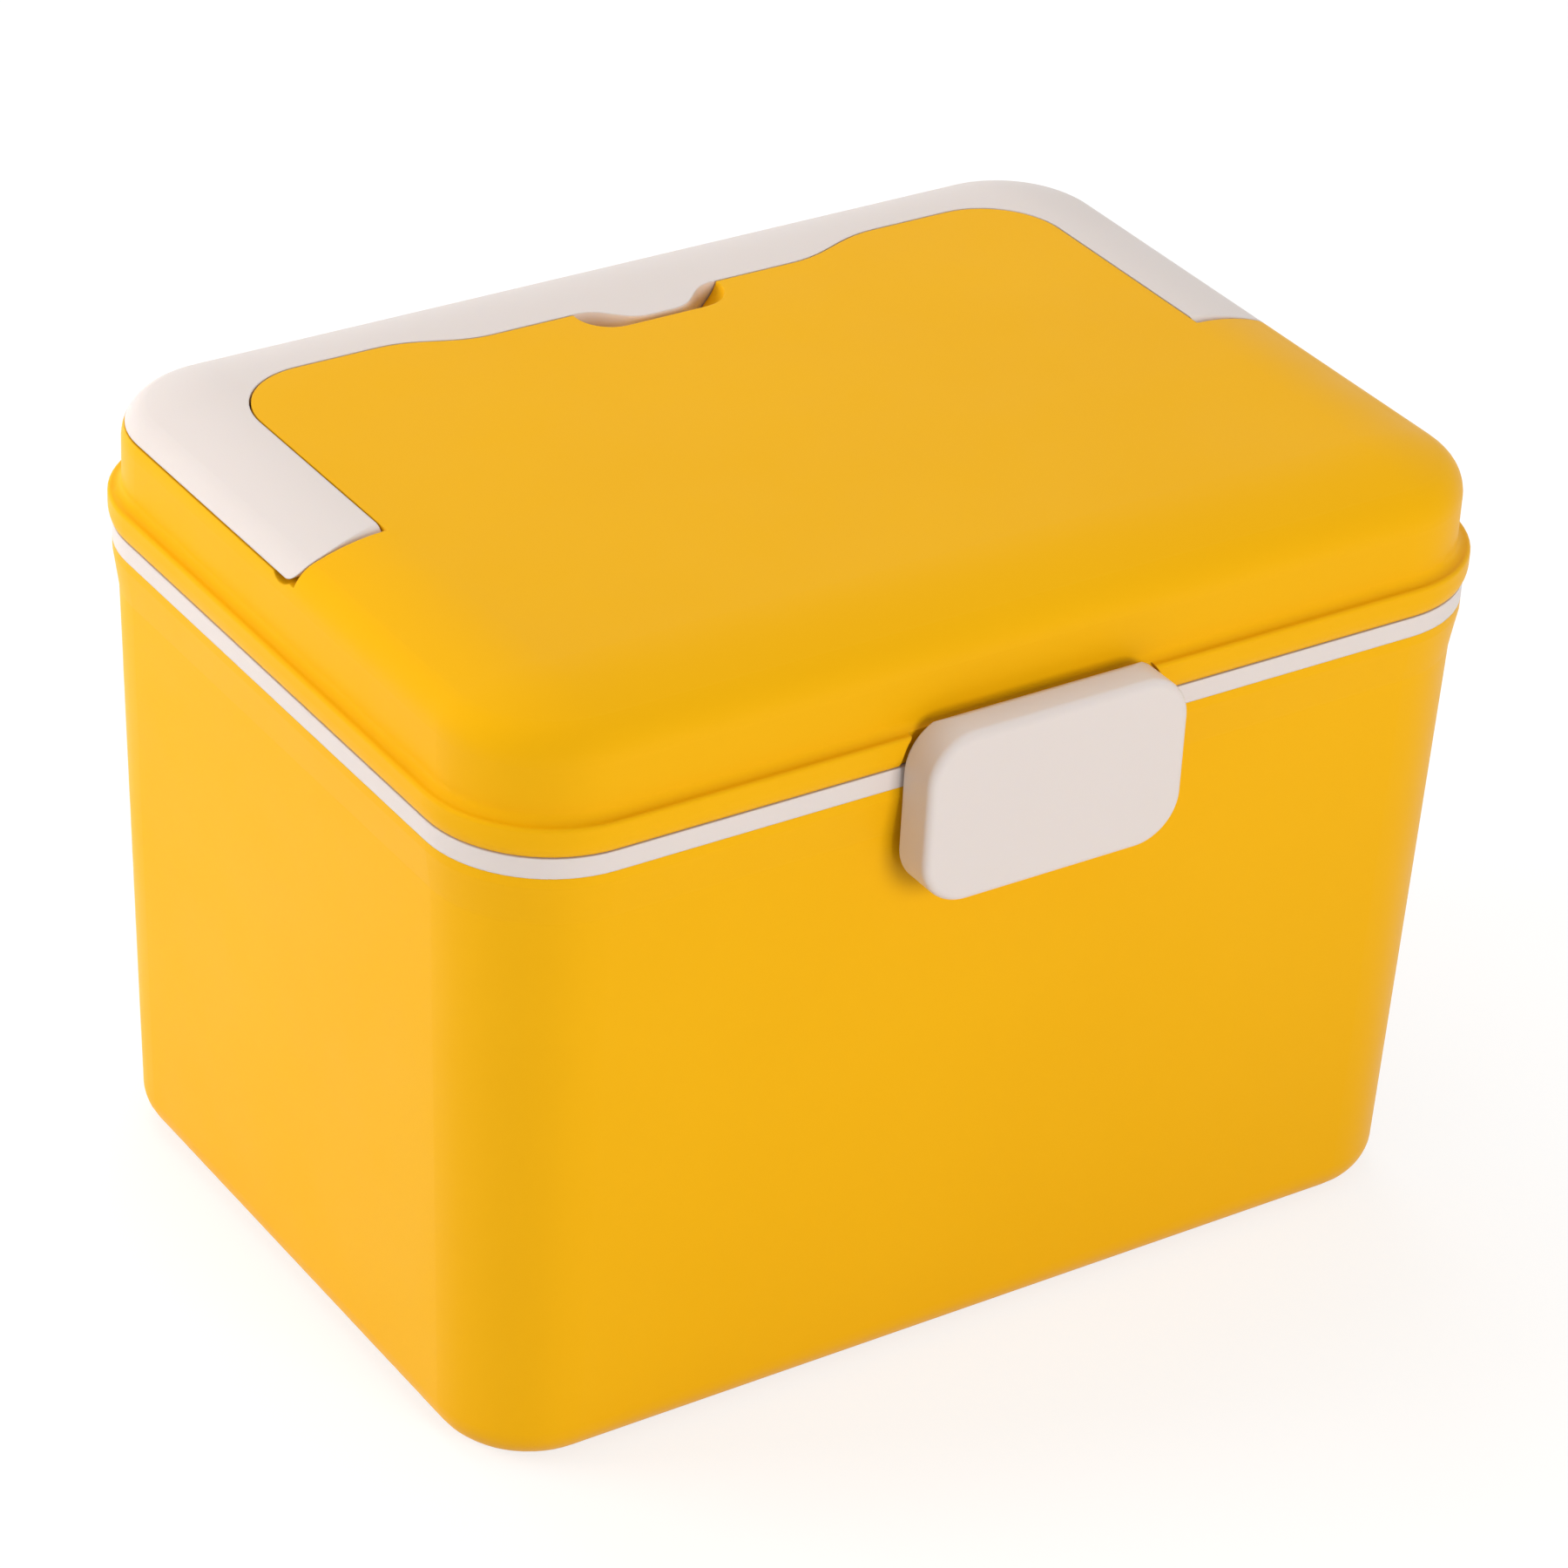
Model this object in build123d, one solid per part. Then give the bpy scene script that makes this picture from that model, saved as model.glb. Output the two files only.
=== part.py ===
from build123d import *
import math
import os

# A moulded household first aid box. All lengths are millimetres and angles are degrees.
# X runs from left to right, Y from the latch at the front to the hinges at the back, Z up.
# An inset is a distance inwards from the widest line round the lid, so every ring, wall
# and lip is an offset of one rounded rectangle and follows it when its size changes.

# Plan of the box at the lid's widest line
lid_width = 278.0
lid_depth = 201.7
lid_corner = 31.0
least_corner = 1.5

# Clearances between pieces
lid_gap = 0.35
handle_gap = 0.5
tray_gap = 0.5
slot_gap = 0.25
touch_gap = 0.1
pin_clearance = 0.06

# Tub
tub_height = 163.0
tub_wall = 2.4
tub_floor = 2.4
foot_height = 1.2
foot_width = 4.0
bottom_round = 10.0
bottom_inset = 7.4
shoulder_inset = 2.5
lip_inset = 1.0
lip_height = 2.5
flare_height = 10.0

# Rim frame, the pale band between tub and lid
band_inset = 1.0
band_height = 5.0
band_wall = 2.2
upstand_inset = 4.8
upstand_wall = 2.0
upstand_height = 5.5
ledge_width = 7.0
ledge_drop = 2.0
ledge_thickness = 2.0
frame_skirt_gap = 0.4
frame_skirt_wall = 2.0
frame_skirt_drop = 15.0
crush_rib_width = 3.0
crush_rib_spacing = 90.0

# Lid
lid_wall = 2.3
lid_wall_inset = 3.3
bead_low_inset = 1.2
bead_belly = 4.0
bead_height = 7.5
bead_round = 1.0
top_height = 35.6
edge_round = 9.0
crown_radius = 55.0
crown_angle = 21.0
crown_flat = 0.5
least_arc = 0.3

# Handle
handle_width = 24.2
handle_height = 8.2
handle_wall = 2.3
handle_end_back = 78.0
handle_end_round = 4.0
handle_inner_corner = 20.0
grip_swell = 6.5
grip_half = 42.0
grip_run = 28.0
pad_swell = 8.2
pad_half = 3.0
pad_run = 16.5
rib_thickness = 1.6
rib_pitch = 17.0
scoop_half = 11.0
scoop_radius = 9.5
scoop_depth = 7.0
scoop_back = 7.0
finger_slot_half = 9.0
finger_slot_drop = 3.6
finger_slot_depth = 6.0

# Handle pins
handle_pin_radius = 2.0
handle_pin_back = 5.2
handle_pin_drop = 4.4
handle_pin_in_arm = 8.0
handle_pin_in_lid = 8.0
boss_wall = 2.6

# Lid hinges at the back
hinge_radius = 5.0
hinge_pin_radius = 1.75
hinge_stand_off = 5.5
hinge_spacing = 150.0
barrel_length = 26.0
ear_length = 7.0
ear_foot_drop = 26.0
ear_side_gap = 0.4
web_lean = 30.0

# Latch at the front
latch_width = 70.0
latch_height = 43.3
latch_depth = 11.0
latch_wall = 2.2
latch_corner = 12.0
latch_top = 14.3
latch_edge_round = 2.0
latch_gap = 0.45
latch_pin_radius = 1.5
latch_pin_drop = 5.7
latch_pin_forward = 4.2
latch_lug_radius = 3.3
latch_lug_width = 6.0
latch_lug_inset = 19.0
latch_rib_width = 2.4
latch_rib_inset = 12.0
latch_seat_depth = 2.0
latch_seat_border = 0.4
latch_seat_top_border = 1.0
hook_height = 3.2
hook_rise = 4.0
catch_width = 50.0
catch_height = 3.6
catch_reach = 2.6
catch_gap = 0.35

# Lift-out tray and its dividers
tray_depth = 42.0
tray_wall = 1.8
tray_draft = 3.0
tray_flange = 2.0
tray_flange_gap = 4.2
tray_round = 5.0
tray_rail_back = 12.0
tray_divider_drop = 6.0
tray_divider_spread = 96.0
tray_divider_thickness = 1.6
tray_grip_width = 60.0
tray_grip_depth = 12.0
slot_rib = 1.6
slot_depth = 2.4

# Tub divider
divider_height = 84.0
divider_thickness = 2.0
divider_place = 44.0

# Levels and reaches worked out from the sizes above
half_width = lid_width / 2
half_depth = lid_depth / 2
band_top = tub_height + band_height
band_middle = tub_height + band_height / 2
lid_low = band_top + lid_gap
wall_low = tub_height - lip_height - flare_height
tub_inside_floor = foot_height + tub_floor
top_level = band_middle + top_height
crown_lean = math.radians(crown_angle)
crown_inset = lid_wall_inset + edge_round * (1 - math.sin(crown_lean)) + crown_radius * math.sin(crown_lean)
rim_depth = crown_inset + crown_flat
ledge_inset = upstand_inset + upstand_wall
ledge_top = band_top - ledge_drop
ledge_inner = ledge_inset + ledge_width
frame_skirt_inset = shoulder_inset + tub_wall + frame_skirt_gap
hinge_back = half_depth + hinge_stand_off
latch_front = half_depth + latch_depth
latch_low = band_middle + latch_top - latch_height
latch_rib_spacing = latch_width - 2 * latch_rib_inset
latch_lug_spacing = latch_width - 2 * latch_lug_inset
latch_pin_half = (latch_rib_spacing + latch_rib_width) / 2 + slot_gap

# How far a cutting or limiting solid reaches past the form it works on
overrun = 40.0

# The box is set so that its origin lies under the middle of its full depth, latch and hinges included
centring = (latch_front - hinge_back - hinge_radius) / 2


def outline(inset, level):
    """Rounded rectangle a given distance inside the lid's widest line, lying at a level."""
    corner = max(lid_corner - inset, least_corner)
    return Pos(0, 0, level) * RectangleRounded(lid_width - 2 * inset, lid_depth - 2 * inset, corner)


def block(inset, low, high):
    """Upright solid that fills one outline between two levels."""
    return extrude(outline(inset, low), amount=high - low)


def ring(outer_inset, inner_inset, low, high):
    """Upright wall that runs round the box between two insets."""
    return block(outer_inset, low, high) - block(inner_inset, low, high)


def side_prism(sketch, left, right):
    """Solid with a profile drawn in Y and Z, between two places along X."""
    plane = Plane(origin=(left, 0, 0), x_dir=(0, 1, 0), z_dir=(1, 0, 0))
    return extrude(plane * sketch, amount=right - left, dir=(1, 0, 0))


def cross_rod(radius, left, right, back, level):
    """Round rod along X."""
    return Pos(left, back, level) * Rot(0, 90, 0) * Cylinder(
        radius, right - left, align=(Align.CENTER, Align.CENTER, Align.MIN)
    )


def span_box(low, high):
    """Box between two opposite corners."""
    size = [b - a for a, b in zip(low, high)]
    return Pos(*low) * Box(*size, align=(Align.MIN, Align.MIN, Align.MIN))


def tub_form(shrink, low, high):
    """Tapered tub body with its flared shoulder, drawn in by a wall thickness."""
    sections = [
        outline(bottom_inset + shrink, low),
        outline(shoulder_inset + shrink, wall_low),
        outline(lip_inset + shrink, wall_low + flare_height),
        outline(lip_inset + shrink, high),
    ]
    body = loft(sections, ruled=True)
    bottom_edges = body.faces().sort_by(Axis.Z)[0].edges()
    return fillet(bottom_edges, bottom_round - shrink)


def wall_back(level):
    """Distance from the middle to the tub's outer back or front wall at a level."""
    share = level / wall_low
    return half_depth - bottom_inset + (bottom_inset - shoulder_inset) * share


def base_tub():
    tub = tub_form(0, 0, tub_height)
    tub -= tub_form(tub_wall, tub_inside_floor, tub_height)
    foot_inner = bottom_inset + bottom_round + foot_width
    tub -= block(foot_inner, 0, foot_height)
    tub += hinge_ears()
    tub += catch()
    tub += divider_slots()
    return tub


def hinge_ears():
    """Two pairs of ears behind the rim, each with a web that runs down into the back wall."""
    under_band = tub_height - touch_gap
    foot = wall_low - ear_foot_drop
    skin = tub_wall / 2
    web = Polygon(
        (hinge_back - hinge_radius, band_middle),
        (hinge_back - hinge_radius, under_band),
        (half_depth - lip_inset - skin, under_band),
        (wall_back(wall_low) - skin, wall_low),
        (wall_back(foot) - skin, foot),
        (wall_back(foot), foot),
        (hinge_back + hinge_radius * math.cos(math.radians(web_lean)),
         band_middle - hinge_radius * math.sin(math.radians(web_lean))),
        align=None,
    )
    profile = web + Pos(hinge_back, band_middle) * Circle(hinge_radius)
    profile -= Pos(hinge_back, band_middle) * Circle(hinge_pin_radius)
    ears = []
    for side in (-1, 1):
        for hand in (-1, 1):
            inner = side * hinge_spacing / 2 + hand * (barrel_length / 2 + ear_side_gap)
            outer = inner + hand * ear_length
            ears.append(side_prism(profile, min(inner, outer), max(inner, outer)))
    return ears


def catch():
    """Nose across the front wall that the latch's hook closes under."""
    top = latch_low + hook_rise + hook_height + catch_gap + catch_height
    bottom = top - catch_height
    front = wall_back(wall_low) + catch_reach
    root = wall_back(bottom) - tub_wall / 2
    nose = Polygon(
        (-root, bottom), (-front, bottom), (-front, top - catch_height / 3), (-root, top + catch_height / 2),
        align=None,
    )
    return side_prism(nose, -catch_width / 2, catch_width / 2)


def divider_slots():
    """Upright ribs inside the front and back walls that the tub divider slides between."""
    ribs = []
    half_slot = divider_thickness / 2 + slot_gap
    for hand in (-1, 1):
        for face in (-1, 1):
            low_x = divider_place + hand * half_slot
            high_x = low_x + hand * slot_rib
            root_low = wall_back(0) - tub_wall / 2
            root_high = wall_back(divider_height) - tub_wall / 2
            tip = wall_back(0) - tub_wall - slot_depth
            profile = Polygon(
                (face * tip, tub_inside_floor - tub_floor / 2),
                (face * (root_low - bottom_round), tub_inside_floor - tub_floor / 2),
                (face * root_low, bottom_round),
                (face * root_high, divider_height),
                (face * tip, divider_height),
                align=None,
            )
            ribs.append(side_prism(profile, min(low_x, high_x), max(low_x, high_x)))
    return ribs


def tub_divider():
    """Removable upright plate across the tub, cut to the taper of its walls."""
    low = tub_inside_floor + touch_gap
    low_reach = wall_back(bottom_round) - tub_wall - slot_gap
    high_reach = wall_back(divider_height) - tub_wall - slot_gap
    plate = Polygon(
        (-low_reach + bottom_round, low), (low_reach - bottom_round, low),
        (low_reach, low + bottom_round), (high_reach, divider_height),
        (-high_reach, divider_height), (-low_reach, low + bottom_round),
        align=None,
    )
    half = divider_thickness / 2
    return side_prism(plate, divider_place - half, divider_place + half)


def rim_frame():
    """Pale ring that caps the tub: visible band, upstand inside the lid, tray ledge and skirt."""
    skirt_low = tub_height - frame_skirt_drop
    skirt_inner = frame_skirt_inset + frame_skirt_wall
    frame = ring(band_inset, ledge_inset, tub_height, band_top)
    frame -= ring(band_inset + band_wall, frame_skirt_inset, tub_height, band_top - band_wall)
    frame += ring(upstand_inset, ledge_inset, band_top, band_top + upstand_height)
    frame += ring(frame_skirt_inset, ledge_inner, ledge_top - ledge_thickness, ledge_top)
    frame += ring(frame_skirt_inset, skirt_inner, skirt_low, ledge_top)
    frame += crush_ribs(skirt_low)
    return frame


def crush_ribs(skirt_low):
    """Narrow ribs on the skirt that hold the ring by friction in the tub."""
    reach = frame_skirt_gap
    ribs = []
    for hand in (-1, 1):
        for place in (-crush_rib_spacing / 2, crush_rib_spacing / 2):
            face_y = half_depth - frame_skirt_inset
            ribs.append(span_box(
                (place - crush_rib_width / 2, min(hand * face_y, hand * (face_y + reach)), skirt_low),
                (place + crush_rib_width / 2, max(hand * face_y, hand * (face_y + reach)), wall_low),
            ))
    return ribs


def lid_form(shrink):
    """Outer form of the lid, drawn in by a wall thickness. One section is swept along the plan
    outline: bead, shelf above it, wall, rounded edge and the crown that runs into the flat top."""
    foot = (bead_low_inset + shrink, lid_low)
    belly = (shrink, lid_low + bead_belly)
    bead_turn = max(bead_round - shrink, least_arc)
    bead_end = (shrink, lid_low + bead_height - shrink - bead_turn)
    bead_arc = JernArc(bead_end, (0, 1), bead_turn, -90)
    shelf_arc = JernArc(bead_arc @ 1, (1, 0), lid_wall_inset - bead_turn, 90)
    wall_end = (
        lid_wall_inset + shrink,
        top_level - crown_radius * (1 - math.cos(crown_lean)) - edge_round * math.cos(crown_lean),
    )
    edge_arc = JernArc(wall_end, (0, 1), edge_round - shrink, crown_angle - 90)
    crown_arc = JernArc(edge_arc @ 1, edge_arc % 1, crown_radius - shrink, -crown_angle)
    top = top_level - shrink
    edges = [
        Spline(foot, belly, tangents=[(-1, 1), (0, 1)]),
        Line(belly, bead_end),
        bead_arc,
        shelf_arc,
        Line(shelf_arc @ 1, wall_end),
        edge_arc,
        crown_arc,
        Line(crown_arc @ 1, (rim_depth, top)),
        Line((rim_depth, top), (rim_depth, lid_low)),
        Line((rim_depth, lid_low), foot),
    ]
    path = outline(0, 0).wire()
    along = path % 0
    section_plane = Plane(origin=path @ 0, x_dir=Vector(0, 0, 1).cross(along), z_dir=along)
    rim = sweep(section_plane * make_face(Curve() + edges), path=path)
    return rim + block(rim_depth - touch_gap, lid_low, top)


def handle_plan(gap, end_gap):
    """U-shaped plan of the handle, drawn in by a gap on its inner and front edges."""
    inner = half_width - lid_wall_inset - handle_width + gap
    back = half_depth - lid_wall_inset - handle_width + gap
    corner = handle_inner_corner + gap
    front = handle_front + end_gap
    swell_back = back - grip_swell
    pad_back = swell_back - pad_swell
    pad_start = pad_half + pad_run
    grip_start = grip_half + grip_run
    right = Curve() + [
        Line((0, pad_back), (pad_half, pad_back)),
        Spline((pad_half, pad_back), (pad_start, swell_back), tangents=[(1, 0), (1, 0)]),
        Line((pad_start, swell_back), (grip_half, swell_back)),
        Spline((grip_half, swell_back), (grip_start, back), tangents=[(1, 0), (1, 0)]),
        Line((grip_start, back), (inner - corner, back)),
        RadiusArc((inner - corner, back), (inner, back - corner), corner),
        Line((inner, back - corner), (inner, front)),
        Line((inner, front), (half_width + overrun, front)),
        Line((half_width + overrun, front), (half_width + overrun, half_depth + overrun)),
        Line((half_width + overrun, half_depth + overrun), (0, half_depth + overrun)),
        Line((0, half_depth + overrun), (0, pad_back)),
    ]
    half = make_face(right)
    return half + mirror(half, about=Plane.YZ)


# Places on the handle: the front ends of its arms, their pivot, and the front of the grip's pad
handle_front = half_depth - lid_wall_inset - handle_end_back - handle_width
pin_back = handle_front + handle_pin_back
pin_level = top_level - handle_pin_drop
arm_inner = half_width - lid_wall_inset - handle_width
pad_front = half_depth - lid_wall_inset - handle_width - grip_swell - pad_swell


def through_top(plan):
    """Column with a given plan that runs through the whole top of the lid."""
    low = top_level - handle_height - overrun
    return extrude(Pos(0, 0, low) * plan, amount=handle_height + 2 * overrun)


def under_top(drop):
    """Everything above a level that lies a given depth below the flat top."""
    reach = (half_width + overrun, half_depth + overrun)
    return span_box((-reach[0], -reach[1], top_level - drop), (*reach, top_level + overrun))


def handle_space(grow):
    """Channel in the lid that takes the handle, grown by a wall thickness where asked."""
    channel = through_top(handle_plan(-grow, -grow - handle_gap))
    channel &= under_top(handle_height + handle_gap + grow)
    swing = handle_sweep_radius + handle_gap / 2 + grow
    inner = arm_inner - grow
    for hand in (-1, 1):
        left = min(hand * inner, hand * (half_width + overrun))
        right = max(hand * inner, hand * (half_width + overrun))
        channel += cross_rod(swing, left, right, pin_back, pin_level)
    return channel


# The far corner of the rounded arm end, measured from the handle pin
handle_sweep_radius = handle_end_round + math.hypot(
    handle_pin_back - handle_end_round, handle_pin_drop - handle_end_round
)


def lid_shell():
    hollow = lid_form(lid_wall)
    hollow -= latch_seat(lid_wall)
    hollow -= handle_space(lid_wall)
    scoop = finger_scoop(0)
    hollow -= finger_scoop(lid_wall)
    for hand in (-1, 1):
        inner = arm_inner - handle_pin_in_lid
        hollow -= handle_pin_rod(hand, inner, arm_inner, handle_pin_radius + boss_wall)
    shell = lid_form(0) - hollow
    shell -= handle_space(0)
    shell -= latch_seat(0)
    shell -= scoop
    for hand in (-1, 1):
        shell -= handle_pin_rod(hand, arm_inner - handle_pin_in_lid, arm_inner, handle_pin_radius)
    shell += hinge_barrels()
    shell += latch_lugs()
    return shell


def latch_seat(grow):
    """Shallow recess behind the latch, with its outline and open below, grown by a wall if asked."""
    border = latch_seat_border + grow
    top = band_middle + latch_top + latch_seat_top_border + grow
    tall = latch_height + overrun
    plane = Plane(origin=(0, seat_back + grow, top - tall / 2), x_dir=(1, 0, 0), z_dir=(0, -1, 0))
    shape = RectangleRounded(latch_width + 2 * border, tall, latch_corner + border)
    return extrude(plane * shape, amount=overrun)


def handle_pin_rod(hand, near, far, radius):
    """Rod along the handle's pivot line, between two distances from the middle."""
    left = min(hand * near, hand * far)
    right = max(hand * near, hand * far)
    return cross_rod(radius, left, right, pin_back, pin_level)


def finger_scoop(grow):
    """Round-ended trough in the top panel that lets a finger under the grip."""
    back = pad_front + scoop_back
    level = top_level - scoop_depth + scoop_radius
    radius = scoop_radius + grow
    trough = cross_rod(radius, -scoop_half, scoop_half, back, level)
    for end in (-scoop_half, scoop_half):
        trough += Pos(end, back, level) * Sphere(radius)
    return trough


def hinge_barrels():
    """Two barrels behind the lid, each on an arm that grows out of the bead."""
    skin = lid_wall / 2
    root = half_depth - bead_low_inset - skin
    arm = Polygon(
        (hinge_back - hinge_radius, band_middle),
        (hinge_back - hinge_radius, lid_low),
        (root, lid_low),
        (root, lid_low + bead_belly),
        (half_depth - skin, lid_low + bead_belly),
        (hinge_back + hinge_radius * math.sin(math.radians(web_lean)),
         band_middle + hinge_radius * math.cos(math.radians(web_lean))),
        (hinge_back, band_middle),
        align=None,
    )
    profile = arm + Pos(hinge_back, band_middle) * Circle(hinge_radius)
    profile -= Pos(hinge_back, band_middle) * Circle(hinge_pin_radius + pin_clearance)
    barrels = []
    for side in (-1, 1):
        middle = side * hinge_spacing / 2
        barrels.append(side_prism(profile, middle - barrel_length / 2, middle + barrel_length / 2))
    return barrels


# Face of the latch's seat, and the line of its pivot inside its top
seat_back = -half_depth + latch_seat_depth
latch_pin_level = band_middle + latch_top - latch_pin_drop
latch_pin_front = half_depth + latch_pin_forward


def latch_lugs():
    """Two lugs on the lid's latch seat that carry the latch pin."""
    arm = Polygon(
        (-latch_pin_front, latch_pin_level - latch_lug_radius),
        (seat_back + lid_wall / 2, lid_low),
        (seat_back + lid_wall / 2, latch_pin_level - latch_lug_radius),
        (-latch_pin_front, latch_pin_level + touch_gap),
        align=None,
    )
    profile = arm + Pos(-latch_pin_front, latch_pin_level) * Circle(latch_lug_radius)
    profile -= Pos(-latch_pin_front, latch_pin_level) * Circle(latch_pin_radius)
    lugs = []
    for side in (-1, 1):
        middle = side * latch_lug_spacing / 2
        lugs.append(side_prism(profile, middle - latch_lug_width / 2, middle + latch_lug_width / 2))
    return lugs


def handle():
    """Bail whose outside is part of the lid's own form, hollow and ribbed underneath."""
    body = lid_form(0) & through_top(handle_plan(handle_gap, 0))
    body &= handle_side_profile()
    core = lid_form(handle_wall) & under_top(handle_height)
    core &= through_top(handle_plan(handle_gap + handle_wall, 2 * handle_pin_back))
    core -= handle_ribs()
    body -= core
    body -= finger_slot()
    for hand in (-1, 1):
        far = arm_inner + handle_gap + handle_pin_in_arm
        body -= handle_pin_rod(hand, arm_inner, far, handle_pin_radius + pin_clearance)
    return body


def finger_slot():
    """Opening low in the front of the grip, where a finger hooks under its top."""
    high = top_level - finger_slot_drop
    low = (-finger_slot_half, pad_front - overrun, high - overrun)
    return span_box(low, (finger_slot_half, pad_front + finger_slot_depth, high))


def handle_side_profile():
    """Side view of the handle: its height, with a rounded front end."""
    low = top_level - handle_height
    back = half_depth + overrun
    slab = Polygon(
        (handle_front, low), (back, low), (back, top_level), (handle_front, top_level), align=None
    )
    slab = fillet(slab.vertices().sort_by(Axis.X)[:2], handle_end_round)
    return side_prism(slab, -half_width, half_width)


def handle_ribs():
    """Stiffening ribs across the underside of the grip and the arms."""
    low = top_level - handle_height - overrun
    high = low + handle_height + 2 * overrun
    half = rib_thickness / 2
    ribs = []
    reach = half_width - lid_wall_inset - handle_width
    count = int(reach / rib_pitch)
    for step in range(-count, count + 1):
        middle = step * rib_pitch
        ribs.append(span_box((middle - half, 0, low), (middle + half, half_depth, high)))
    rows = int((handle_end_back - handle_inner_corner) / rib_pitch)
    for step in range(1, rows + 1):
        middle = handle_front + 2 * handle_pin_back + step * rib_pitch
        for hand in (-1, 1):
            left = min(hand * arm_inner, hand * half_width)
            right = max(hand * arm_inner, hand * half_width)
            ribs.append(span_box((left, middle - half, low), (right, middle + half, high)))
    return ribs


def latch_plate():
    """Front latch: a rounded cap, open at the back, with pivot ribs inside and a hook at its foot."""
    middle = latch_low + latch_height / 2
    rear = -half_depth - latch_gap
    depth = latch_depth - latch_gap
    plane = Plane(origin=(0, rear, middle), x_dir=(1, 0, 0), z_dir=(0, -1, 0))
    cap = extrude(plane * RectangleRounded(latch_width, latch_height, latch_corner), amount=depth)
    front_edges = cap.faces().sort_by(Axis.Y)[0].edges()
    cap = fillet(front_edges, latch_edge_round)
    cap &= latch_top_profile(rear)
    inner = RectangleRounded(
        latch_width - 2 * latch_wall, latch_height - 2 * latch_wall, latch_corner - latch_wall
    )
    cap -= extrude(plane * inner, amount=depth - latch_wall)
    cap += latch_inner_ribs()
    cap += latch_hook()
    cap -= cross_rod(
        latch_pin_radius + pin_clearance, -latch_pin_half - slot_gap, latch_pin_half + slot_gap,
        -latch_pin_front, latch_pin_level,
    )
    return cap


def latch_top_profile(rear):
    """Side view of the latch, with the top back corner rounded so that it clears its seat."""
    high = latch_low + latch_height
    clear = latch_pin_forward + latch_seat_depth - catch_gap
    limit = Pos(-latch_pin_front, latch_pin_level) * Circle(clear)
    front = -latch_front - overrun
    lower = Polygon(
        (front, latch_low - overrun), (rear, latch_low - overrun), (rear, latch_pin_level),
        (-latch_pin_front, latch_pin_level), (-latch_pin_front, high + overrun), (front, high + overrun),
        align=None,
    )
    return side_prism(lower + limit, -latch_width, latch_width)


def latch_inner_ribs():
    """Upright ribs inside the latch that turn on the pin."""
    skin = latch_wall / 2
    front = -latch_front + skin
    top = latch_low + latch_height - skin
    web = Polygon(
        (front, top), (-latch_pin_front, top), (-latch_pin_front + latch_lug_radius, latch_pin_level),
        (-latch_pin_front, latch_pin_level - latch_lug_radius),
        (front, latch_pin_level - 3 * latch_lug_radius),
        align=None,
    )
    profile = web + Pos(-latch_pin_front, latch_pin_level) * Circle(latch_lug_radius)
    ribs = []
    for side in (-1, 1):
        for spacing in (latch_rib_spacing, latch_rib_spacing / 3):
            middle = side * spacing / 2
            ribs.append(side_prism(profile, middle - latch_rib_width / 2, middle + latch_rib_width / 2))
    return ribs


def latch_hook():
    """Ridge behind the foot of the latch that closes under the tub's catch."""
    low = latch_low + hook_rise
    tip = -(wall_back(wall_low) + catch_reach + catch_gap)
    front = -latch_front + latch_wall / 2
    profile = Polygon(
        (front, low - hook_height), (tip, low), (tip, low + hook_height), (front, low + hook_height),
        align=None,
    )
    half = latch_width / 2 - latch_corner
    return side_prism(profile, -half, half)


def lift_out_tray():
    """Shallow tray that hangs by its flange on the ledge of the rim frame."""
    flange_low = ledge_top + touch_gap
    flange_top = flange_low + tray_flange
    flange_inset = ledge_inset + tray_flange_gap
    body_inset = ledge_inner + tray_gap
    low = flange_top - tray_depth
    tray = loft([outline(body_inset + tray_draft, low), outline(body_inset, flange_top)], ruled=True)
    tray = fillet(tray.faces().sort_by(Axis.Z)[0].edges(), tray_round)
    tray += block(flange_inset, flange_low, flange_top)
    inside = loft(
        [outline(body_inset + tray_draft + tray_wall, low + tray_wall),
         outline(body_inset + tray_wall, flange_top)],
        ruled=True,
    )
    inside = fillet(inside.faces().sort_by(Axis.Z)[0].edges(), tray_round - tray_wall)
    rail_top = flange_low - tray_divider_drop
    rail = span_box(
        (-half_width, tray_rail_back - tray_wall / 2, low),
        (half_width, tray_rail_back + tray_wall / 2, rail_top),
    )
    inside -= rail
    inside -= tray_slot_ribs(low, rail_top)
    tray -= inside
    for hand in (-1, 1):
        grip = Pos(hand * half_width, 0, flange_low - tray_wall - tray_grip_depth / 2)
        tray -= grip * Rot(0, 90, 0) * extrude(
            SlotOverall(tray_grip_width, tray_grip_depth, rotation=90), amount=overrun, both=True
        )
    return tray


def tray_slot_ribs(low, rail_top):
    """Pairs of small ribs on the front wall and the rail that hold the tray dividers."""
    ribs = []
    wall = half_depth - ledge_inner - tray_gap - tray_draft - tray_wall
    half_slot = tray_divider_thickness / 2 + slot_gap
    for hand in (-1, 1):
        middle = hand * tray_divider_spread / 2
        for edge in (-1, 1):
            near = middle + edge * half_slot
            far = near + edge * slot_rib
            for front, back in ((-half_depth, -wall + slot_depth),
                                (tray_rail_back - slot_depth - tray_wall / 2, tray_rail_back)):
                ribs.append(span_box((min(near, far), front, low), (max(near, far), back, rail_top)))
    return ribs


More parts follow.
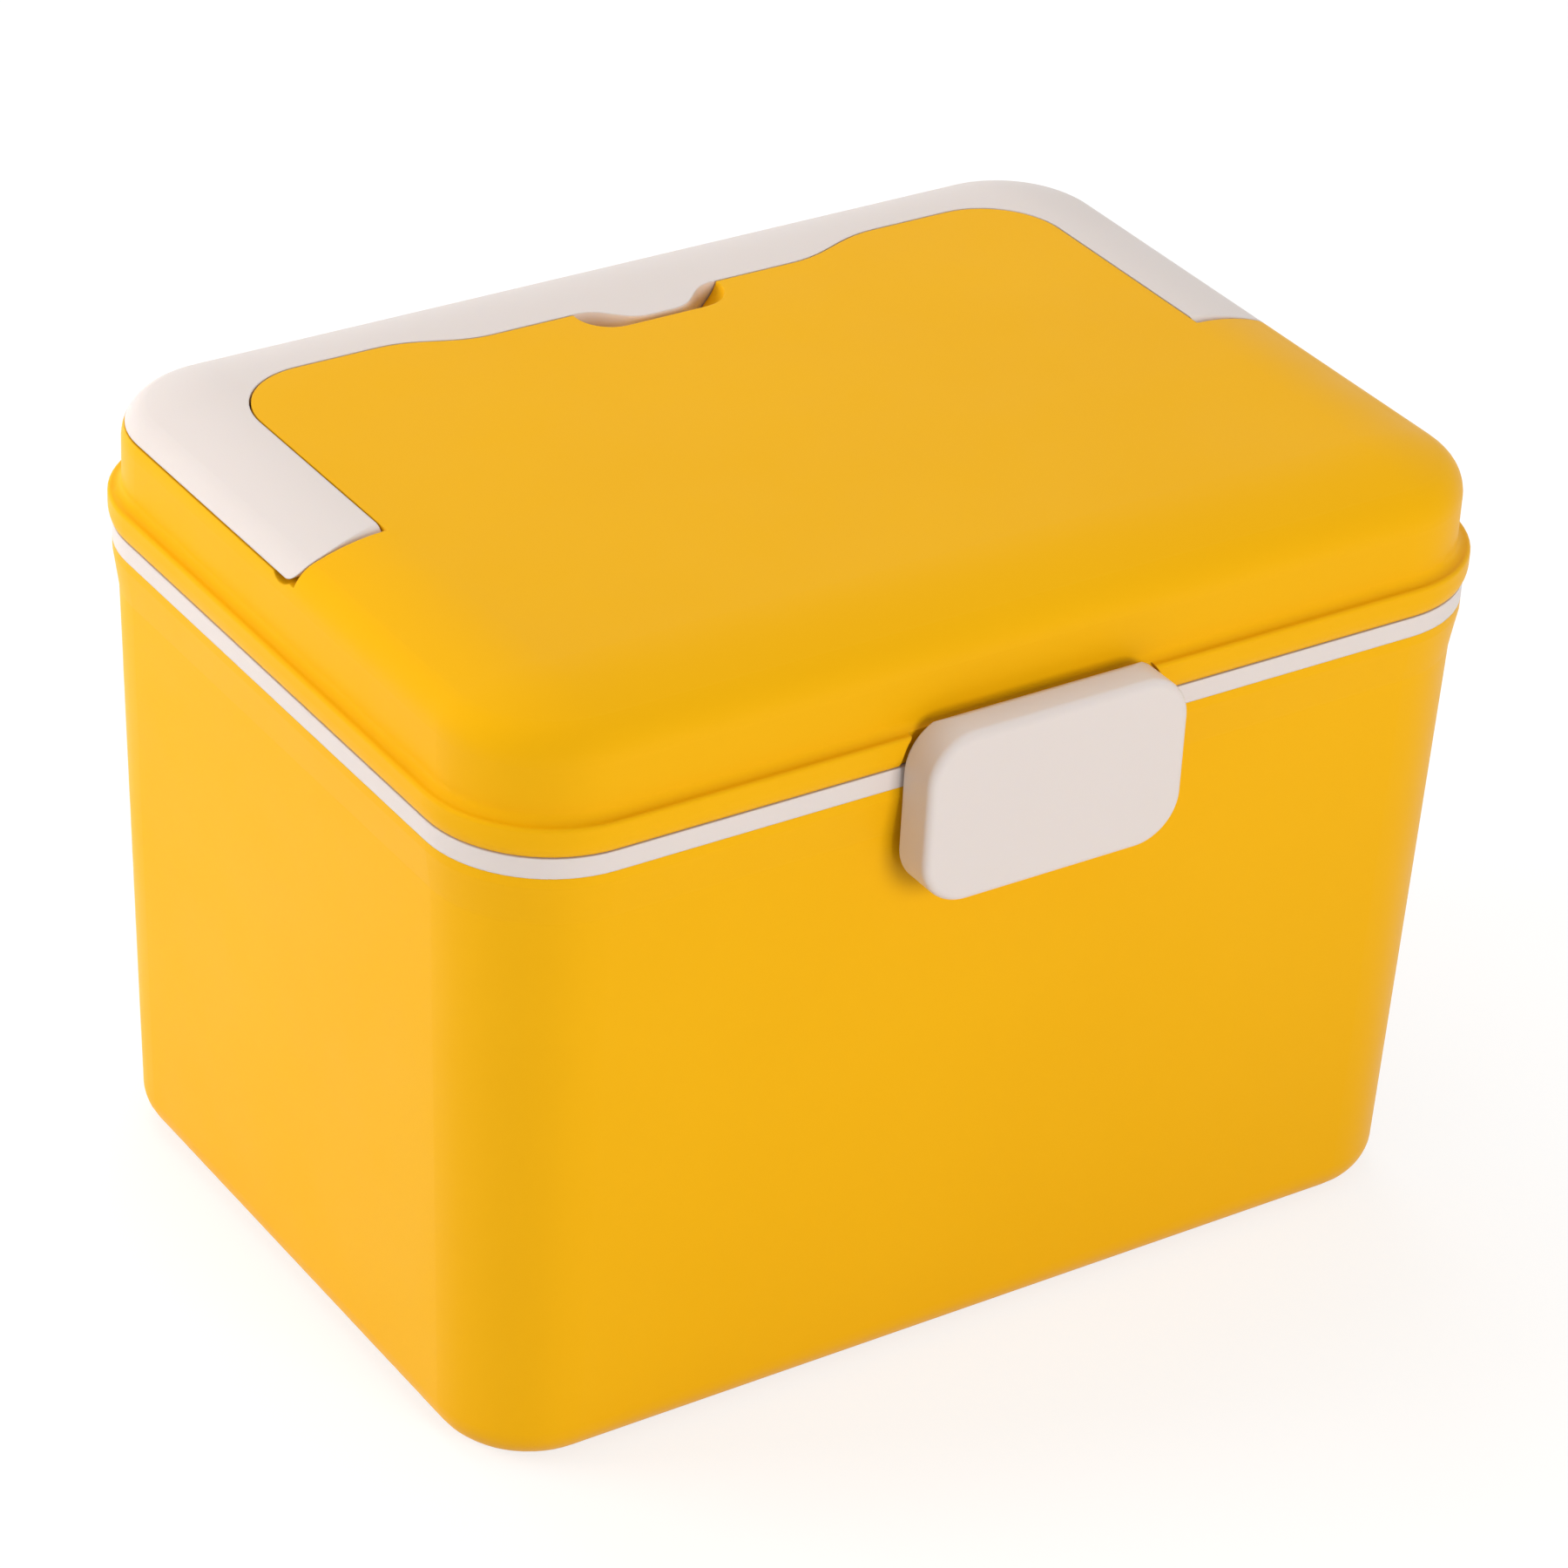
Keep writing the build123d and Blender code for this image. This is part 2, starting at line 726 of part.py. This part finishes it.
def tray_divider(hand):
    """Removable plate between the tray's front wall and its long rail."""
    flange_low = ledge_top + touch_gap
    flange_top = flange_low + tray_flange
    low = flange_top - tray_depth
    floor = low + tray_wall
    high = flange_low - tray_divider_drop
    inset_low = ledge_inner + tray_gap + tray_draft + tray_wall
    lean = tray_draft * (high - floor) / (flange_top - floor)
    front_low = -half_depth + inset_low + slot_gap
    front_high = front_low - lean
    back = tray_rail_back - tray_wall / 2 - slot_gap
    round_clear = tray_round - tray_wall
    plate = Polygon(
        (front_low + round_clear, floor + touch_gap),
        (back, floor + touch_gap),
        (back, high),
        (front_high, high),
        (front_low, floor + round_clear),
        align=None,
    )
    middle = hand * tray_divider_spread / 2
    half = tray_divider_thickness / 2
    return side_prism(plate, middle - half, middle + half)


def hinge_pin(side):
    """Steel rod through one pair of ears and the barrel between them."""
    half = barrel_length / 2 + ear_side_gap + ear_length
    middle = side * hinge_spacing / 2
    return cross_rod(hinge_pin_radius, middle - half, middle + half, hinge_back, band_middle)


def handle_pin(hand):
    """Steel rod from a boss inside the lid into one arm of the handle."""
    far = arm_inner + handle_gap + handle_pin_in_arm - touch_gap
    return handle_pin_rod(hand, arm_inner - handle_pin_in_lid, far, handle_pin_radius)


def latch_pin():
    """Steel rod through the lid's lugs and the latch's ribs."""
    return cross_rod(latch_pin_radius, -latch_pin_half, latch_pin_half, -latch_pin_front, latch_pin_level)


pieces = {
    "base_tub": base_tub(),
    "rim_frame": rim_frame(),
    "tub_divider": tub_divider(),
    "hinge_pin_left": hinge_pin(-1),
    "hinge_pin_right": hinge_pin(1),
    "lid_shell": lid_shell(),
    "handle": handle(),
    "handle_pin_left": handle_pin(-1),
    "handle_pin_right": handle_pin(1),
    "latch_plate": latch_plate(),
    "latch_pin": latch_pin(),
    "lift_out_tray": lift_out_tray(),
    "tray_divider_left": tray_divider(-1),
    "tray_divider_right": tray_divider(1),
}

os.makedirs("parts", exist_ok=True)
for name, piece in pieces.items():
    placed = Pos(0, centring, 0) * piece
    export_step(placed, f"parts/{name}.step")
    print(name, round(placed.volume))

print("hinge line", round(hinge_back + centring, 3), round(band_middle, 3))
print("handle line", round(pin_back + centring, 3), round(pin_level, 3))
print("latch line", round(-latch_pin_front + centring, 3), round(latch_pin_level, 3))
print("centring", round(centring, 3))
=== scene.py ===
import bpy
import math
from mathutils import Matrix, Vector


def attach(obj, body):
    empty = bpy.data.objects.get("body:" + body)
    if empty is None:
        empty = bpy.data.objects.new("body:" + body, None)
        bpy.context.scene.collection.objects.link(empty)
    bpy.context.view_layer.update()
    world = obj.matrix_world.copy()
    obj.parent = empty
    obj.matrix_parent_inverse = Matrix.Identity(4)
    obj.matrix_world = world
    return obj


# A moulded household first aid box, closed, on a plain studio floor. Lengths are metres.
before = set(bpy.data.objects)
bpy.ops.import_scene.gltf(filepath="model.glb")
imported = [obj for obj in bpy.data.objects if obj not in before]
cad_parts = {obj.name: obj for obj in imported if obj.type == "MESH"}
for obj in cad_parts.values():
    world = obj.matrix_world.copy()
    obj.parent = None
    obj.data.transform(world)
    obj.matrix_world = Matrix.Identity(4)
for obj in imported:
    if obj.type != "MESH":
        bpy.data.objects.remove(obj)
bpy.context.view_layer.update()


# Tub.
# Injection moulded in one shot of solid yellow polypropylene, with a tapered wall, a flared rim
# and ears for the hinges. The mould is spark-eroded to a fine satin grain, so the wall throws
# broad soft highlights and no sharp reflection.

MM = 0.001

# A Mix node's two colours and the colour it gives, by their places among its sockets.
COLOUR_A, COLOUR_B, MIXED_COLOUR = 6, 7, 2


def linear(hex_colour):
    """A colour written as sRGB hex, turned linear for a shader's socket."""
    levels = [int(hex_colour[place:place + 2], 16) / 255 for place in (1, 3, 5)]
    return [c / 12.92 if c <= 0.04045 else ((c + 0.055) / 1.055) ** 2.4 for c in levels] + [1.0]


def add_node(tree, kind, inputs=None, **settings):
    """One node in a tree, with its settings, and each input set to a value or linked to a socket."""
    made = tree.nodes.new(kind)
    for name, value in settings.items():
        setattr(made, name, value)
    for socket, value in (inputs or {}).items():
        if isinstance(value, bpy.types.NodeSocket):
            tree.links.new(value, made.inputs[socket])
        else:
            made.inputs[socket].default_value = value
    return made


def moulded_polypropylene(name, colour, deep_colour, edge_highlight_colour, roughness, gloss, depth_of_light):
    """Polypropylene from a spark-eroded mould: satin, faintly cloudy, soft at every edge, with a painted
    highlight along each edge.
    """
    material = bpy.data.materials.new(name)
    material.use_nodes = True
    tree = material.node_tree
    tree.nodes.clear()
    place = add_node(tree, "ShaderNodeTexCoord").outputs["Object"]

    # Pigment drifts slightly as the melt fills the mould, over 60 to 100 mm.
    flow_size = 80 * MM
    flow = add_node(tree, "ShaderNodeTexNoise", {
        "Vector": place, "Scale": 1 / flow_size, "Detail": 2.0, "Roughness": 0.5, "Distortion": 0.4,
    }).outputs["Fac"]
    tint = add_node(tree, "ShaderNodeMix", {
        "Factor": flow, COLOUR_A: linear(colour), COLOUR_B: linear(deep_colour),
    }, data_type="RGBA").outputs[MIXED_COLOUR]

    # Edges of a moulding have a radius of about half a millimetre; the colour is lightened along them as a
    # painted highlight.
    edge_radius = 0.5 * MM
    most_edge_highlight = 0.5
    soft_edge = add_node(tree, "ShaderNodeBevel", {"Radius": edge_radius}, samples=6).outputs["Normal"]
    facing = add_node(tree, "ShaderNodeNewGeometry").outputs["Normal"]
    agreement = add_node(tree, "ShaderNodeVectorMath", {0: soft_edge, 1: facing},
                         operation="DOT_PRODUCT").outputs["Value"]
    painted_edge_highlight = add_node(tree, "ShaderNodeMapRange", {
        "Value": agreement, "From Min": 0.99, "From Max": 0.8, "To Min": 0.0, "To Max": most_edge_highlight,
    }).outputs["Result"]
    base = add_node(tree, "ShaderNodeMix", {
        "Factor": painted_edge_highlight, COLOUR_A: tint, COLOUR_B: linear(edge_highlight_colour),
    }, data_type="RGBA").outputs[MIXED_COLOUR]

    # Gloss wanders a little over 25 mm, as the mould's polish and its cooling do.
    gloss_patch_size = 25 * MM
    roughness_drift = 0.03
    gloss_patch = add_node(tree, "ShaderNodeTexNoise", {
        "Vector": place, "Scale": 1 / gloss_patch_size, "Detail": 2.0, "Roughness": 0.55,
    }).outputs["Fac"]
    rough = add_node(tree, "ShaderNodeMapRange", {
        "Value": gloss_patch, "From Min": 0.3, "From Max": 0.7,
        "To Min": roughness - roughness_drift, "To Max": roughness + roughness_drift,
    }).outputs["Result"]

    # Spark erosion leaves pits of about 0.1 mm. They are drawn at 0.9 mm, as fine as the render shows.
    grain_size = 0.9 * MM
    grain_depth = 0.04 * MM
    grain = add_node(tree, "ShaderNodeTexNoise", {
        "Vector": place, "Scale": 1 / grain_size, "Detail": 3.0, "Roughness": 0.6,
    }).outputs["Fac"]
    surface = add_node(tree, "ShaderNodeBump", {
        "Height": grain, "Strength": 0.12, "Distance": grain_depth, "Normal": soft_edge,
    }).outputs["Normal"]

    # The polymer is slightly cloudy, so light goes in by a millimetre or so, and red the furthest.
    reach_of_light = 1.5 * MM
    shader = add_node(tree, "ShaderNodeBsdfPrincipled", {
        "Base Color": base, "Roughness": rough, "Normal": surface, "IOR": 1.49, "Specular IOR Level": gloss,
        "Subsurface Weight": depth_of_light, "Subsurface Radius": (1.0, 0.6, 0.25),
        "Subsurface Scale": reach_of_light,
    })
    add_node(tree, "ShaderNodeOutputMaterial", {"Surface": shader.outputs["BSDF"]})
    return material


def finish_node(name, material):
    """Gives a CAD node the finish of its real piece in every slot."""
    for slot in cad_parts[name].material_slots:
        slot.material = material


# The third colour is the painted highlight along the edges.
yellow_polypropylene = moulded_polypropylene(
    "moulded yellow polypropylene", "#F1B30B", "#EDAE09", "#FAC032",
    roughness=0.40, gloss=0.08, depth_of_light=0.04,
)
finish_node("base_tub", yellow_polypropylene)


def ejector_mark_field():
    """Node group for the marks that the mould's pins leave: a grid of thin round pads."""
    tree = bpy.data.node_groups.new("ejector marks", "GeometryNodeTree")
    for label, kind in (("Columns", "NodeSocketInt"), ("Rows", "NodeSocketInt"),
                        ("Field Width", "NodeSocketFloat"), ("Field Depth", "NodeSocketFloat"),
                        ("Pin Radius", "NodeSocketFloat"), ("Pad Height", "NodeSocketFloat"),
                        ("Middle", "NodeSocketVector"), ("Finish", "NodeSocketMaterial")):
        tree.interface.new_socket(label, in_out="INPUT", socket_type=kind)
    tree.interface.new_socket("Marks", in_out="OUTPUT", socket_type="NodeSocketGeometry")
    given = add_node(tree, "NodeGroupInput").outputs
    places = add_node(tree, "GeometryNodeMeshGrid", {
        "Size X": given["Field Width"], "Size Y": given["Field Depth"],
        "Vertices X": given["Columns"], "Vertices Y": given["Rows"],
    }).outputs["Mesh"]
    pad = add_node(tree, "GeometryNodeMeshCylinder", {
        "Vertices": 40, "Radius": given["Pin Radius"], "Depth": given["Pad Height"],
    }).outputs["Mesh"]
    pads = add_node(tree, "GeometryNodeInstanceOnPoints", {
        "Points": places, "Instance": pad,
    }).outputs["Instances"]
    moved = add_node(tree, "GeometryNodeTransform", {
        "Geometry": pads, "Translation": given["Middle"],
    }).outputs["Geometry"]
    solid = add_node(tree, "GeometryNodeRealizeInstances", {"Geometry": moved}).outputs["Geometry"]
    finished = add_node(tree, "GeometryNodeSetMaterial", {
        "Geometry": solid, "Material": given["Finish"],
    }).outputs["Geometry"]
    add_node(tree, "NodeGroupOutput", {"Marks": finished})
    return tree


mark_field = ejector_mark_field()


def ejector_marks(name, body, material, grid, field, radius, middle, height=0.2 * MM):
    """Pin marks as one plain mesh that moves with a body, in a grid of columns and rows on a field."""
    sizes = {
        "Columns": grid[0], "Rows": grid[1], "Field Width": field[0], "Field Depth": field[1],
        "Pin Radius": radius, "Pad Height": height, "Middle": middle, "Finish": material,
    }
    holder = bpy.data.objects.new(name + "_holder", bpy.data.meshes.new(name + "_holder"))
    bpy.context.scene.collection.objects.link(holder)
    modifier = holder.modifiers.new("marks", "NODES")
    modifier.node_group = mark_field
    for socket in mark_field.interface.items_tree:
        if socket.in_out == "INPUT":
            modifier[socket.identifier] = sizes[socket.name]
    evaluated = holder.evaluated_get(bpy.context.evaluated_depsgraph_get())
    mesh = bpy.data.meshes.new_from_object(evaluated)
    bpy.data.objects.remove(holder)
    mesh.name = name
    marks = bpy.data.objects.new(name, mesh)
    bpy.context.scene.collection.objects.link(marks)
    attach(marks, body)


# The tub's middle stands a little behind the origin, which is half-way from latch to hinges.
tub_middle = 0.25 * MM

# Eight pins push the tub off its core, and leave round marks 9 mm wide on the floor inside.
tub_inside_floor = 3.6 * MM
ejector_marks(
    "tub_ejector_marks", "base", yellow_polypropylene,
    grid=(4, 2), field=(204 * MM, 110 * MM), radius=4.5 * MM, middle=(0.0, tub_middle, tub_inside_floor),
)

# The melt enters under the middle of the floor and leaves a short nub inside the foot ring.
gate_level = 1.1 * MM
ejector_marks(
    "tub_gate_mark", "base", yellow_polypropylene,
    grid=(1, 1), field=(1 * MM, 1 * MM), radius=1.4 * MM, middle=(0.0, tub_middle, gate_level),
    height=0.8 * MM,
)


# Rim frame.
# A pale polypropylene ring pressed into the rim of the tub. Only the 5 mm band between tub and
# lid shows while the box is closed. It comes from a finer mould and is a little glossier.

# The third colour is the painted highlight along the edges.
cream_polypropylene = moulded_polypropylene(
    "moulded cream polypropylene", "#E0D5CF", "#DCD1CB", "#EDE7E3",
    roughness=0.36, gloss=0.15, depth_of_light=0.08,
)
finish_node("rim_frame", cream_polypropylene)


# Tray and dividers.
# The lift-out tray and the loose dividers are natural polypropylene without pigment: milky, so
# that a little light passes through the wall, and duller than the outside of the box.

# The third colour is the painted highlight along the edges.
milky_polypropylene = moulded_polypropylene(
    "moulded natural polypropylene", "#E4E6E6", "#DDE0E0", "#F0F2F2",
    roughness=0.42, gloss=0.25, depth_of_light=0.22,
)
for name in ("lift_out_tray", "tray_divider_left", "tray_divider_right", "tub_divider"):
    finish_node(name, milky_polypropylene)

# Pin marks under the tray's floor, 6 mm wide.
tray_underside = 126.1 * MM
ejector_marks(
    "tray_ejector_marks", "tray", milky_polypropylene,
    grid=(5, 2), field=(200 * MM, 120 * MM), radius=3 * MM, middle=(0.0, tub_middle, tray_underside),
)


# Steel pins.
# The hinge, handle and latch pins are cut from drawn steel wire, which keeps fine scratches along
# its length. All of them lie along X.


def drawn_steel():
    """Bright drawn wire: a metal with long fine scratches in its gloss."""
    material = bpy.data.materials.new("drawn steel wire")
    material.use_nodes = True
    tree = material.node_tree
    tree.nodes.clear()
    place = add_node(tree, "ShaderNodeTexCoord").outputs["Object"]

    # Die scratches are a few hundredths of a millimetre apart, and are drawn at 0.25 mm to show.
    scratch_gap = 0.25 * MM
    scratch_depth = 0.02 * MM
    gap_to_length = 0.04
    stretched = add_node(tree, "ShaderNodeMapping", {
        "Vector": place, "Scale": (gap_to_length, 1.0, 1.0),
    }).outputs["Vector"]
    scratches = add_node(tree, "ShaderNodeTexNoise", {
        "Vector": stretched, "Scale": 1 / scratch_gap, "Detail": 2.0, "Roughness": 0.6,
    }).outputs["Fac"]
    tint = add_node(tree, "ShaderNodeMix", {
        "Factor": scratches, COLOUR_A: linear("#C9CACC"), COLOUR_B: linear("#B4B6B9"),
    }, data_type="RGBA").outputs[MIXED_COLOUR]
    rough = add_node(tree, "ShaderNodeMapRange", {
        "Value": scratches, "From Min": 0.3, "From Max": 0.7, "To Min": 0.22, "To Max": 0.36,
    }).outputs["Result"]
    surface = add_node(tree, "ShaderNodeBump", {
        "Height": scratches, "Strength": 0.25, "Distance": scratch_depth,
    }).outputs["Normal"]
    shader = add_node(tree, "ShaderNodeBsdfPrincipled", {
        "Base Color": tint, "Metallic": 1.0, "Roughness": rough, "Normal": surface,
    })
    add_node(tree, "ShaderNodeOutputMaterial", {"Surface": shader.outputs["BSDF"]})
    return material


steel_wire = drawn_steel()
for name in ("hinge_pin_left", "hinge_pin_right", "handle_pin_left", "handle_pin_right", "latch_pin"):
    finish_node(name, steel_wire)


# Lid.
# The same yellow polypropylene as the tub, moulded with the recess for the handle, the finger
# trough, the hinge barrels and the lugs for the latch.

finish_node("lid_shell", yellow_polypropylene)

# Pin marks 8 mm wide on the underside of the flat panel between the arms of the handle.
panel_middle = -14 * MM
panel_underside = 198.8 * MM
ejector_marks(
    "lid_ejector_marks", "lid", yellow_polypropylene,
    grid=(4, 3), field=(180 * MM, 96 * MM), radius=4 * MM, middle=(0.0, panel_middle, panel_underside),
)


# Handle and latch.
# The bail handle and the latch plate are moulded in the cream polypropylene of the rim frame, and
# each hangs in the lid on its own steel pins.

for name in ("handle", "latch_plate"):
    finish_node(name, cream_polypropylene)


# Studio.
# A white paper floor that reaches past every view, with one softbox behind on the left, one in
# front and one overhead. The front left corner, between the first two, stays a little darker.

floor_reach = 6.0
floor_level = -0.05 * MM
floor_mesh = bpy.data.meshes.new("studio_floor")
floor_mesh.from_pydata(
    [(-floor_reach, -floor_reach, floor_level), (floor_reach, -floor_reach, floor_level),
     (floor_reach, floor_reach, floor_level), (-floor_reach, floor_reach, floor_level)],
    [], [(0, 1, 2, 3)]
)
floor = bpy.data.objects.new("studio_floor", floor_mesh)
bpy.context.scene.collection.objects.link(floor)

WHITE = (1.0, 1.0, 1.0, 1.0)


def shown_as_background(tree):
    """1 for a ray from the camera or through gloss or glass, and 0 for a ray that only carries light."""
    ray = add_node(tree, "ShaderNodeLightPath").outputs
    straight_or_glossy = add_node(tree, "ShaderNodeMath", {
        0: ray["Is Camera Ray"], 1: ray["Is Glossy Ray"],
    }, operation="ADD").outputs[0]
    return add_node(tree, "ShaderNodeMath", {
        0: straight_or_glossy, 1: ray["Is Transmission Ray"],
    }, operation="ADD", use_clamp=True).outputs[0]


# Where the paper is seen it takes the box's shadow, and glows enough to come out white beside it.
# The lamps reach it near the box only, so further out it glows more.
lighting_tone = (0.75, 0.75, 0.75, 1.0)
seen_tone = (0.34, 0.34, 0.34, 1.0)
glow_near, glow_far = 0.72, 0.96
near_radius, far_radius = 0.6, 2.4

floor_paper = bpy.data.materials.new("matt white paper")
floor_paper.use_nodes = True
tree = floor_paper.node_tree
tree.nodes.clear()
seen = shown_as_background(tree)
paper_tone = add_node(tree, "ShaderNodeMix", {
    "Factor": seen, COLOUR_A: lighting_tone, COLOUR_B: seen_tone,
}, data_type="RGBA").outputs[MIXED_COLOUR]
paper = add_node(tree, "ShaderNodeBsdfDiffuse", {"Color": paper_tone})
from_box = add_node(tree, "ShaderNodeVectorMath", {
    0: add_node(tree, "ShaderNodeTexCoord").outputs["Object"],
}, operation="LENGTH").outputs["Value"]
glow_there = add_node(tree, "ShaderNodeMapRange", {
    "Value": from_box, "From Min": near_radius, "From Max": far_radius,
    "To Min": glow_near, "To Max": glow_far,
}, interpolation_type="SMOOTHSTEP").outputs["Result"]
glow_level = add_node(tree, "ShaderNodeMath", {0: seen, 1: glow_there}, operation="MULTIPLY").outputs[0]
glow = add_node(tree, "ShaderNodeEmission", {"Color": WHITE, "Strength": glow_level})
lit_paper = add_node(tree, "ShaderNodeAddShader", {0: paper.outputs["BSDF"], 1: glow.outputs["Emission"]})
add_node(tree, "ShaderNodeOutputMaterial", {"Surface": lit_paper.outputs["Shader"]})
floor_mesh.materials.append(floor_paper)

# The sky is plain white where it is seen, and lights the box at less than half of that.
sky_light, sky_seen = 0.41, 1.0
world = bpy.data.worlds.new("studio")
bpy.context.scene.world = world
world.use_nodes = True
tree = world.node_tree
tree.nodes.clear()
strength = add_node(tree, "ShaderNodeMapRange", {
    "Value": shown_as_background(tree), "To Min": sky_light, "To Max": sky_seen,
}).outputs["Result"]
sky = add_node(tree, "ShaderNodeBackground", {"Color": WHITE, "Strength": strength})
add_node(tree, "ShaderNodeOutputWorld", {"Surface": sky.outputs["Background"]})

box_middle = Vector((0, 0, 0.09))


def softbox(name, direction, distance, side, level):
    """A large square panel light aimed at the box. Level 1 lights a surface facing it to its own colour."""
    light = bpy.data.lights.new(name, "AREA")
    light.shape = "RECTANGLE"
    light.size = side
    light.size_y = side
    light.energy = math.pi ** 2 * distance ** 2 * level
    lamp = bpy.data.objects.new(name, light)
    outward = Vector(direction).normalized()
    lamp.location = box_middle + outward * distance
    lamp.rotation_euler = outward.to_track_quat("Z", "Y").to_euler()
    # The panel itself isn't mirrored, because at a low angle it would burn out the lid's flat top.
    lamp.visible_glossy = False
    bpy.context.scene.collection.objects.link(lamp)


softbox("softbox_left", (-0.80, 0.50, 0.30), distance=1.4, side=0.9, level=0.70)
softbox("softbox_front", (0.06, -0.93, 0.30), distance=1.6, side=0.6, level=0.475)
softbox("softbox_overhead", (0.05, 0.50, 1.0), distance=1.6, side=1.2, level=0.39)


# Camera.
# The photograph's viewpoint: from the front left and above, level to within a few degrees, and
# far enough away that the box's edges draw together only a little.

azimuth = math.radians(-34.358)
elevation = math.radians(31.017)
roll = math.radians(3.21)
distance = 1.430736
aim = Vector((0.0, 0.00025, 0.082782))
aim_right = 0.002866
aim_up = 0.015273
sensor_width_mm = 36.0
lens_mm = 135.67
back = Vector((
    math.sin(azimuth) * math.cos(elevation), -math.cos(azimuth) * math.cos(elevation), math.sin(elevation)
))
level_right = (-back).cross(Vector((0, 0, 1))).normalized()
level_up = level_right.cross(-back)
right = math.cos(roll) * level_right + math.sin(roll) * level_up
up = math.cos(roll) * level_up - math.sin(roll) * level_right
lens = bpy.data.cameras.new("camera")
lens.sensor_width = sensor_width_mm
lens.lens = lens_mm
camera = bpy.data.objects.new("camera", lens)
place = aim + aim_right * right + aim_up * up + distance * back
camera.matrix_world = Matrix.Translation(place) @ Matrix((right, up, back)).transposed().to_4x4()
bpy.context.scene.collection.objects.link(camera)
bpy.context.scene.camera = camera

bpy.context.scene.view_settings.view_transform = "Standard"
